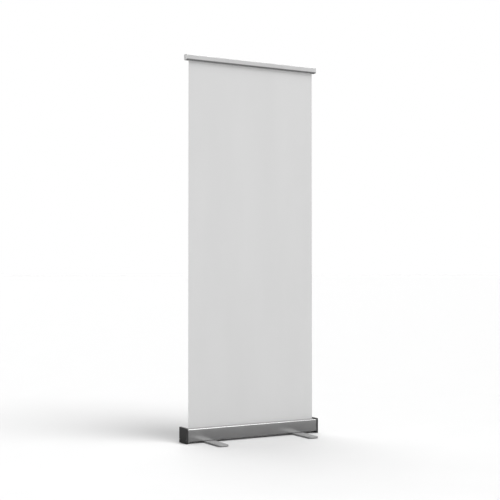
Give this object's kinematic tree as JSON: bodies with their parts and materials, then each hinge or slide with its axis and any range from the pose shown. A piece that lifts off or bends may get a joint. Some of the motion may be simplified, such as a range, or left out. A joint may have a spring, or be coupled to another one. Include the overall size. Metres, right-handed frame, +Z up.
{
  "type": "roll-up banner stand",
  "caption": "Free-standing pull-up banner: spring-roller cassette on swivel feet, telescopic rear pole and snap-open top rail holding a blank film.",
  "frame": {"origin": "on the floor, in the middle of the stand's footprint with the feet swung out", "axes": "+X along the banner's width, -Y the way the banner faces, +Z up"},
  "size_m": [0.848, 0.335, 2.118],
  "materials": {
    "cassette": "grey satin anodised",
    "silver": "natural satin anodised",
    "rail": "silver satin anodised",
    "feet": "satin, lightly crowned edges",
    "black_plastic": "fine moulded texture",
    "grey_plastic": "fine moulded texture",
    "steel": "zinc plated",
    "rubber": "matt",
    "film": "matt polyester print film, blank"
  },
  "bodies": {
    "root": {"cassette_extrusion": "cassette", "end_cap_left": "black_plastic", "end_cap_right": "black_plastic", "cap_screw_left_front": "steel", "cap_screw_left_rear": "steel", "cap_screw_right_front": "steel", "cap_screw_right_rear": "steel", "pole_socket": "black_plastic", "spring_shaft": "steel", "idle_pin": "steel", "spring_anchor": "steel", "torsion_spring": "steel", "banner": "film", "swivel_bolt_left": "steel", "swivel_bolt_right": "steel", "swivel_washer_left": "steel", "swivel_washer_right": "steel", "swivel_nut_left": "steel", "swivel_nut_right": "steel", "pole_plug": "black_plastic", "pole_lower_tube": "silver", "pole_lower_bush": "black_plastic"},
    "roller": {"roller_tube": "silver", "roller_plug_idle": "grey_plastic", "roller_plug_spring": "grey_plastic", "shaft_bearing": "grey_plastic", "banner_roll": "film"},
    "foot_left": {"foot_left": "feet", "foot_pad_left_front": "rubber", "foot_pad_left_rear": "rubber"},
    "foot_right": {"foot_right": "feet", "foot_pad_right_front": "rubber", "foot_pad_right_rear": "rubber"},
    "lower_collar": {"lower_twist_collar": "black_plastic"},
    "pole_middle": {"pole_middle_tube": "silver", "pole_upper_bush": "black_plastic", "pole_middle_glide": "black_plastic"},
    "upper_collar": {"upper_twist_collar": "black_plastic"},
    "rail": {"pole_upper_tube": "silver", "pole_upper_glide": "black_plastic", "pole_top_hook": "black_plastic", "rail_rear": "rail", "rail_cap_left": "grey_plastic", "rail_cap_right": "grey_plastic"},
    "rail_jaw": {"rail_jaw": "rail"}
  },
  "joints": [
    {"name": "foot_left_swivel", "type": "hinge", "parent": "root", "child": "foot_left", "pos_m": [-0.285, 0.0525, 0.006], "axis": [0, 0, 1], "range_deg": [0, 90]},
    {"name": "foot_right_swivel", "type": "hinge", "parent": "root", "child": "foot_right", "pos_m": [0.285, 0.0525, 0.006], "axis": [0, 0, -1], "range_deg": [0, 90]},
    {"name": "rail_slide", "type": "slide", "parent": "root", "child": "rail", "axis": [0, 0, -1], "range_m": [0, 1.2], "deforming": ["banner"]},
    {"name": "pole_middle_slide", "type": "slide", "parent": "root", "child": "pole_middle", "axis": [0, 0, -1], "range_m": [0, 0.6]},
    {"name": "roller_turn", "type": "hinge", "parent": "root", "child": "roller", "pos_m": [0, 0.0525, 0.042], "axis": [1, 0, 0], "range_deg": [0, 3720]},
    {"name": "lower_collar_twist", "type": "hinge", "parent": "root", "child": "lower_collar", "pos_m": [0, 0.0849, 0.7888], "axis": [0, 0, 1], "range_deg": [0, 90]},
    {"name": "upper_collar_twist", "type": "hinge", "parent": "pole_middle", "child": "upper_collar", "pos_m": [0, 0.0849, 1.4327], "axis": [0, 0, 1], "range_deg": [0, 90]},
    {"name": "jaw_hinge", "type": "hinge", "parent": "rail", "child": "rail_jaw", "pos_m": [0, 0.0348, 2.1145], "axis": [-1, 0, 0], "range_deg": [0, 60]}
  ],
  "couplings": [
    {"joint": "pole_middle_slide", "follows": "rail_slide", "ratio": 0.5},
    {"joint": "roller_turn", "follows": "rail_slide", "rad_per_m": 54}
  ]
}
